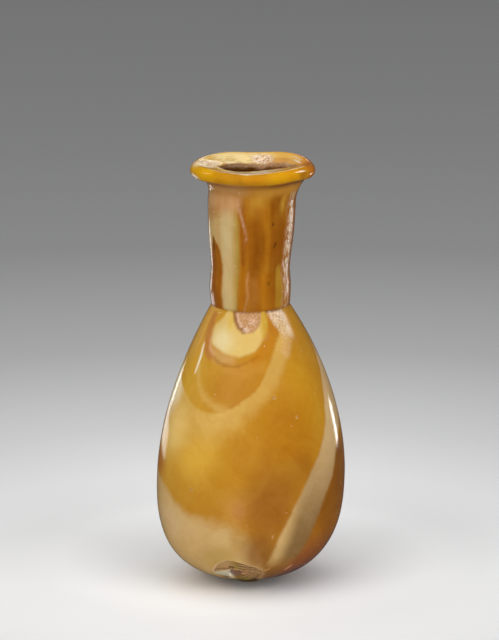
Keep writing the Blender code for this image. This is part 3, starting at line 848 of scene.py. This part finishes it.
def paint_scar(paint, tints):
    """The broken place low on the front, the foot and the shaded base."""
    b, z = paint.bearing, paint.walk
    # Mauve low on the front and right: painted shade under the base
    paint.lay(tints.base_shade_mauve, 0.9 * fall(z, 3.5, 9.5) * hill(b, -46.0, 48.0))
    below = scar_brow(b) - z
    ends = rise(b, -124.0, -119.0) * fall(b, -79.0, -74.0) * (z < 20.0)
    inside = rise(below, -0.1, 0.3) * ends * fall(below, 4.5, 6.0)
    paint.lay("#AE8858", inside)
    paint.lay("#8E7236", 0.8 * inside * bump(b, -99.0, 7.0) * fall(below, 2.0, 3.4))
    layers = scar_layers(b, below)
    right = inside * rise(b, -99.0, -95.0)
    paint.lay("#54340F", 0.95 * right * rise(layers, 0.45, 0.8))
    paint.lay("#D8B080", 0.7 * right * bump(layers, 0.14, 0.16))
    # A pale line along the brow of the scar: painted highlight on its edge
    paint.stroke("#DCB78C", tuple(SCAR_BROW[1:-1]), (0.1, 0.14, 0.12, 0.05, 0.1, 0.16, 0.12), 0.28, 0.75)
    paint.stroke("#C2BA9C", ((-121, 4.8), (-107.5, 5.1)), (0.2, 1.2), 0.25, 0.97)
    paint.stroke("#EADFC2", ((-105.6, 6.2), (-106.5, 4.4)), 0.07, 0.2, 0.9)
    paint.stroke("#7A5838", ((-119, 6.0), (-112, 6.5), (-105, 6.8)), (0.0, 0.05, 0.08), 0.26, 0.8)
    # Dark mauve in the pit between the facet and the layers: painted shade
    paint.stroke("#745046", ((-104, 5.5), (-100, 4.7), (-96, 5.2)), (0.35, 0.7, 0.3), 0.6, 0.85)
    paint.spot("#B4835E", (-93, 5.2), (5, 1.2), 0.8)
    paint.stroke("#3E2A12", ((-104, 7.0), (-102, 6.8)), 0.12, 0.3, 0.85)
    round_foot = bump(b, -98.0, 20.0)
    paint.lay("#6A5016", fall(z, 1.0 + 2.2 * round_foot, 2.4 + 2.4 * round_foot))
    # A yellowish line on the foot: painted sheen
    paint.stroke("#A08A3A", ((-98, 2.6), (-88, 3.3)), 0.1, 0.4, 0.6)
    # Two short pale lines right of the scar: painted glints
    paint.stroke("#C98E62", ((-57, 6.2), (-54, 7.2)), 0.12, 0.35, 0.8)
    paint.stroke("#C89A58", ((-77, 6.4), (-73, 7.0)), 0.06, 0.3, 0.7)


def close_rings(points, first, last):
    """Vertices and triangles of a closed skin of rings, with a pole at each end.

    Quads join ring r and r + 1 at bearings c and c + 1, wrapping round, and a fan closes each end.
    """
    rings, count = points.shape[:2]
    grid = np.arange(rings * count).reshape(rings, count)
    ahead = np.roll(grid, -1, axis=1)
    quads = np.stack([grid[:-1], ahead[:-1], ahead[1:], grid[1:]], axis=-1).reshape(-1, 4)
    bottom = rings * count
    fan = np.stack([ahead[0], grid[0], np.full(count, bottom)], axis=-1)
    cap = np.stack([grid[-1], ahead[-1], np.full(count, bottom + 1)], axis=-1)
    vertices = np.concatenate([points.reshape(-1, 3), [first, last]])
    return vertices, quads, np.concatenate([fan, cap])


def make_mesh(name, vertices, quads, triangles):
    """A mesh object at the origin from arrays of vertices in mm, four-cornered and three-cornered faces."""
    mesh = bpy.data.meshes.new(name)
    mesh.vertices.add(len(vertices))
    mesh.vertices.foreach_set("co", (vertices * MM).astype(np.float32).ravel())
    loops = np.concatenate([quads.ravel(), triangles.ravel()]).astype(np.int32)
    mesh.loops.add(len(loops))
    mesh.loops.foreach_set("vertex_index", loops)
    sizes = np.concatenate([np.full(len(quads), 4), np.full(len(triangles), 3)]).astype(np.int32)
    mesh.polygons.add(len(sizes))
    mesh.polygons.foreach_set("loop_start", np.concatenate([[0], np.cumsum(sizes)[:-1]]).astype(np.int32))
    mesh.update(calc_edges=True)
    mesh.validate()
    mesh.shade_smooth()
    made = bpy.data.objects.new(name, mesh)
    bpy.context.scene.collection.objects.link(made)
    return made


def attach(mesh, name, values):
    """Stores one number or one colour a vertex as an attribute of the mesh."""
    plain = values.ndim == 1
    layer = mesh.attributes.new(name, "FLOAT" if plain else "FLOAT_COLOR", "POINT")
    layer.data.foreach_set("value" if plain else "color", values.astype(np.float32).ravel())


def add(tree, kind, feeds, settings=None):
    """Adds a node, sets its options, and feeds its inputs with values or other nodes' outputs."""
    made = tree.nodes.new(kind)
    for key, value in (settings or {}).items():
        setattr(made, key, value)
    for key, value in feeds.items():
        if isinstance(value, bpy.types.NodeSocket):
            tree.links.new(value, made.inputs[key])
        else:
            made.inputs[key].default_value = value
    return made


def noise(tree, place, scale, detail, roughness=0.5, distortion=0.0):
    """Soft chance values about 0.5, in waves of 1 / scale metres."""
    return add(tree, "ShaderNodeTexNoise",
               {"Vector": place, "Scale": scale, "Detail": detail, "Roughness": roughness,
                "Distortion": distortion}).outputs["Fac"]


def mixed(tree, share, under, over):
    """A colour: the under one times (1 - share), plus the over one times the share."""
    return add(tree, "ShaderNodeMix", {0: share, 6: under, 7: over}, {"data_type": "RGBA"}).outputs[2]


def ranged(tree, value, start, end, low=0.0, high=1.0, kind="LINEAR"):
    """The value stretched to run from low at its start to high at its end, on a line or an S curve."""
    return add(tree, "ShaderNodeMapRange",
               {"Value": value, "From Min": start, "From Max": end, "To Min": low, "To Max": high},
               {"interpolation_type": kind}).outputs[0]


def worked_out(tree, operation, *values):
    """One sum on two or three values. MULTIPLY_ADD is the first times the second, plus the third."""
    return add(tree, "ShaderNodeMath", dict(enumerate(values)), {"operation": operation}).outputs[0]


def blown_marbled_glass():
    """Soda-lime glass, blown from one gather of amber and white and fire-polished.

    The eye gets a wet gloss over colour that lies a little below the skin, white bands whose edges wander,
    faint streaks where the glass was drawn, pin bubbles, a few burst ones and, where it is weathered, a
    dull pitted crust.
    """
    material = bpy.data.materials.new("blown_marbled_glass")
    material.use_nodes = True
    tree = material.node_tree
    shader = tree.nodes["Principled BSDF"]
    place = add(tree, "ShaderNodeTexCoord", {}).outputs["Object"]
    kept = {name: add(tree, "ShaderNodeAttribute", {}, {"attribute_name": name}).outputs
            for name in ("amber_glass", "white_glass", "white_shows", "crust", "drawn")}
    crust = kept["crust"]["Fac"]
    # The edge of the white glass wanders, by up to 0.25 mm where it is crisp, in waves of 3 mm
    wander = noise(tree, place, 330.0, 4.0, roughness=0.6)
    strayed = worked_out(tree, "MULTIPLY_ADD", wander, 1.6, kept["white_shows"]["Fac"])
    edge = ranged(tree, strayed, -0.2, 1.8, kind="SMOOTHSTEP")
    marbled = mixed(tree, edge, kept["amber_glass"]["Color"], kept["white_glass"]["Color"])
    # Clouds about 7 mm across: thicker glass is darker and richer, as a power of its colour
    clouds = noise(tree, place, 140.0, 9.0, roughness=0.72, distortion=0.8)
    thick = ranged(tree, clouds, 0.3, 0.7, 0.91, 1.11)
    # Upright streaks 0.7 mm wide and 12 mm long, in the drawn glass of the neck alone
    upright = add(tree, "ShaderNodeMapping", {"Vector": place, "Scale": (1.0, 1.0, 0.06)}).outputs[0]
    streaks = ranged(tree, noise(tree, upright, 700.0, 2.0, distortion=0.5), 0.3, 0.7, -0.06, 0.06)
    power = worked_out(tree, "MULTIPLY_ADD", streaks, kept["drawn"]["Fac"], thick)
    toned = add(tree, "ShaderNodeGamma", {"Color": marbled, "Gamma": power}).outputs["Color"]
    # Pin bubbles up to 0.5 mm across, some 4 mm apart
    cells = add(tree, "ShaderNodeTexVoronoi", {"Vector": place, "Scale": 250.0}).outputs["Distance"]
    bubble = ranged(tree, cells, 0.065, 0.035, 0.0, 0.35)
    pricked = mixed(tree, bubble, toned, linear("#E6CB92"))
    # Burst bubbles up to 1.2 mm across, in cells of some 8 mm: a pale rim round a darker pit of 0.8 mm
    wide_cells = add(tree, "ShaderNodeTexVoronoi", {"Vector": place, "Scale": 120.0}).outputs["Distance"]
    rim = ranged(tree, wide_cells, 0.075, 0.055, 0.0, 0.18)
    burst = ranged(tree, wide_cells, 0.05, 0.035, 0.0, 0.35)
    rimmed = mixed(tree, rim, pricked, linear("#E3C68C"))
    pocked = mixed(tree, burst, rimmed, linear("#8A5A1E"))
    # White flecks and dark pits of crust, 0.4 mm across
    fleck = noise(tree, place, 2400.0, 2.0)
    flecked = worked_out(tree, "MULTIPLY", ranged(tree, fleck, 0.50, 0.62), crust)
    white = mixed(tree, flecked, pocked, linear("#F2E4D2"))
    pitted = worked_out(tree, "MULTIPLY", ranged(tree, fleck, 0.44, 0.36, 0.0, 0.7), crust)
    tree.links.new(mixed(tree, pitted, white, linear("#7A4E26")), shader.inputs["Base Color"])
    # Fire-polished glass mirrors sharply, and its crust is dull
    tree.links.new(ranged(tree, crust, 0.0, 1.0, 0.13, 0.55), shader.inputs["Roughness"])
    # Grit and pin bubbles stand up by less than 0.25 mm, and burst ones sink inside their rims
    grit = worked_out(tree, "MULTIPLY_ADD", fleck, crust, bubble)
    crater = worked_out(tree, "MULTIPLY_ADD", burst, -1.6, rim)
    height = worked_out(tree, "ADD", grit, crater)
    relief = add(tree, "ShaderNodeBump", {"Height": height, "Strength": 0.8, "Distance": 0.25 * MM})
    tree.links.new(relief.outputs[0], shader.inputs["Normal"])
    shader.inputs["IOR"].default_value = 1.5
    shader.inputs["Subsurface Weight"].default_value = 0.3
    shader.inputs["Subsurface Radius"].default_value = (1.0, 0.5, 0.2)
    shader.inputs["Subsurface Scale"].default_value = 1.5 * MM
    return material


def seamless_paper(near):
    """Matt seamless paper, rolled out and lit by a pool of light.

    The eye gets a soft even ground, pale by the flask and grey far from it: its colour times a brightness
    that falls with the distance from a point a little behind the flask.
    """
    material = bpy.data.materials.new("seamless_paper")
    material.use_nodes = True
    tree = material.node_tree
    shader = tree.nodes["Principled BSDF"]
    place = add(tree, "ShaderNodeTexCoord", {}).outputs["Object"]
    flat = add(tree, "ShaderNodeVectorMath", {0: place, 1: (1.0, 1.0, 0.0), 2: (0.0, -POOL_BEHIND, 0.0)},
               {"operation": "MULTIPLY_ADD"})
    away = add(tree, "ShaderNodeVectorMath", {0: flat.outputs[0]}, {"operation": "LENGTH"})
    ramp = add(tree, "ShaderNodeValToRGB", {"Fac": away.outputs["Value"]})
    elements = ramp.color_ramp.elements
    elements[1].position = POOL_OF_LIGHT[-1][0]
    for reach, _ in POOL_OF_LIGHT[1:-1]:
        elements.new(reach)
    for element, (_, share) in zip(elements, POOL_OF_LIGHT):
        element.color = (near[0] * share, near[1] * share, near[2] * share, 1.0)
    tree.links.new(ramp.outputs["Color"], shader.inputs["Base Color"])
    shader.inputs["Roughness"].default_value = 0.6
    shader.inputs["Specular IOR Level"].default_value = 0.2
    return material


def paper_sweep():
    """Rings of points of the paper, in mm: flat out to 2 m, then bent upwards, and upright at its reach.

    The bend's height is its radius times 1 less the cosine of an angle from 0.1 to 1.3 radians.
    """
    reach = np.concatenate([np.linspace(20.0, 2000.0, PAPER_FLAT),
                            np.linspace(2050.0, PAPER_END, PAPER_SWEEP), [PAPER_END, PAPER_END]])[:, None]
    bend = (1 - np.cos(np.linspace(0.1, 1.3, PAPER_SWEEP))) * PAPER_BEND
    lift = np.concatenate([np.zeros(PAPER_FLAT), bend, [PAPER_BEND, PAPER_TOP]])[:, None]
    angle = np.linspace(0, 2 * np.pi, PAPER_ROUND, endpoint=False)
    return np.stack(np.broadcast_arrays(reach * np.cos(angle), reach * np.sin(angle), lift), axis=-1)


class FLASK_OT_stage(bpy.types.Operator):
    """Lays the paper floor, hangs the soft lights and places the camera"""

    bl_idname = "flask.stage"
    bl_label = "Set the stage"

    def execute(self, context):
        """Makes the floor, the lights, the air and the camera."""
        settings = context.scene.flask_stage
        vertices, quads, fans = close_rings(paper_sweep(), (0, 0, 0), (0, 0, PAPER_TOP))
        floor = make_mesh("studio_floor", vertices, quads[:, ::-1], fans[:PAPER_ROUND][:, ::-1])
        floor.data.materials.append(seamless_paper(settings.paper))
        floor.visible_glossy = False
        for name, place, size, watts, card in LAMPS:
            self.lamp(context, name, place, size, watts * settings.strength, card)
        world = bpy.data.worlds.new("studio_air")
        world.use_nodes = True
        air = world.node_tree.nodes["Background"]
        air.inputs["Color"].default_value = AIR_COLOUR
        air.inputs["Strength"].default_value = AIR_STRENGTH
        context.scene.world = world
        context.scene.view_settings.view_transform = "Standard"
        self.camera(context, settings)
        return {"FINISHED"}

    def camera(self, context, settings):
        """Places the camera on a line that rises towards the front from the point it looks at."""
        aim = Vector((settings.aim_side, 0.0, settings.aim_height))
        tilt = settings.elevation
        back = Vector((0.0, -np.cos(tilt), np.sin(tilt)))
        data = bpy.data.cameras.new("camera")
        data.lens = settings.lens
        data.sensor_width = SENSOR_WIDTH
        data.clip_end = 20.0
        camera = bpy.data.objects.new("camera", data)
        camera.location = aim + back * settings.distance
        camera.rotation_euler = (-back).to_track_quat("-Z", "Y").to_euler()
        context.scene.collection.objects.link(camera)
        context.scene.camera = camera

    def lamp(self, context, name, place, size, power, card):
        """Hangs an oblong lamp that faces the flask. A card shows in its gloss alone, a lamp never does."""
        data = bpy.data.lights.new(name, "AREA")
        data.shape = "RECTANGLE"
        data.size = size[0]
        data.size_y = size[1]
        data.energy = power
        lamp = bpy.data.objects.new(name, data)
        lamp.location = place
        lamp.rotation_euler = (Vector(LAMP_AIM) - Vector(place)).to_track_quat("-Z", "Y").to_euler()
        lamp.visible_camera = False
        lamp.visible_glossy = card
        lamp.visible_diffuse = not card
        context.scene.collection.objects.link(lamp)


class FLASK_OT_blow(bpy.types.Operator):
    """Makes the flask: its skin, its bands of colour and its glass"""

    bl_idname = "flask.blow"
    bl_label = "Blow the flask"

    def execute(self, context):
        """Works out skin and paint on the same grid, and builds the piece that replaces the node."""
        size = context.scene.flask_sizes
        tints = context.scene.flask_colours
        points, bearing, walk, radius = skin(size, ROUND_COUNT)
        if not np.isfinite(points).all():
            raise RuntimeError("the sizes of the flask give no closed skin")
        middle = points[-1].mean(axis=0)
        vertices, quads, fans = close_rings(points, (0.0, 0.0, 0.0), (middle[0], middle[1], INNER_FLOOR))
        flask = make_mesh("marbled_glass_flask", vertices, quads, fans)
        paint = Paint(bearing, walk, radius, tints.amber, tints.cream)
        for part in (paint_body, paint_shoulder, paint_neck, paint_lip, paint_scar):
            part(paint, tints)
        for name, values in (("amber_glass", paint.glass["amber"]), ("white_glass", paint.glass["white"])):
            ends = [values[0].mean(axis=0), values[-1].mean(axis=0)]
            attach(flask.data, name, np.concatenate([values.reshape(-1, 4), ends]))
        attach(flask.data, "white_shows", np.append(paint.shows.ravel(), [HIDDEN, HIDDEN]))
        attach(flask.data, "crust", np.append(paint.crust.ravel(), [0.0, 0.0]))
        attach(flask.data, "drawn", np.append(paint.drawn.ravel(), [0.0, 0.0]))
        flask.data.materials.append(blown_marbled_glass())
        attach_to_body(flask, "root")
        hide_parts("flask")
        return {"FINISHED"}


class FLASK_PT_sidebar(bpy.types.Panel):
    """The flask's buttons, sizes and colours"""

    bl_label = "Marbled Glass Flask"
    bl_idname = "FLASK_PT_sidebar"
    bl_space_type = "VIEW_3D"
    bl_region_type = "UI"
    bl_category = "Flask"

    def draw(self, context):
        """Lists the two operators, and each group of properties under them."""
        layout = self.layout
        layout.operator(FLASK_OT_stage.bl_idname)
        layout.operator(FLASK_OT_blow.bl_idname)
        for group in (context.scene.flask_sizes, context.scene.flask_colours, context.scene.flask_stage):
            box = layout.box()
            for name in group.bl_rna.properties.keys():
                if name not in {"rna_type", "name"}:
                    box.prop(group, name)


CLASSES = (FlaskSizes, GlassColours, StageSettings, FLASK_OT_stage, FLASK_OT_blow, FLASK_PT_sidebar)


def register():
    """Registers the classes and hangs their settings on the scene."""
    for item in CLASSES:
        bpy.utils.register_class(item)
    bpy.types.Scene.flask_sizes = bpy.props.PointerProperty(type=FlaskSizes)
    bpy.types.Scene.flask_colours = bpy.props.PointerProperty(type=GlassColours)
    bpy.types.Scene.flask_stage = bpy.props.PointerProperty(type=StageSettings)


def unregister():
    """Takes off what register put on, in the opposite order."""
    del bpy.types.Scene.flask_stage
    del bpy.types.Scene.flask_colours
    del bpy.types.Scene.flask_sizes
    for item in reversed(CLASSES):
        bpy.utils.unregister_class(item)


def main():
    """Registers the add-on, sets the stage and blows the flask."""
    register()
    bpy.ops.flask.stage()
    bpy.ops.flask.blow()


if __name__ == "__main__":
    main()
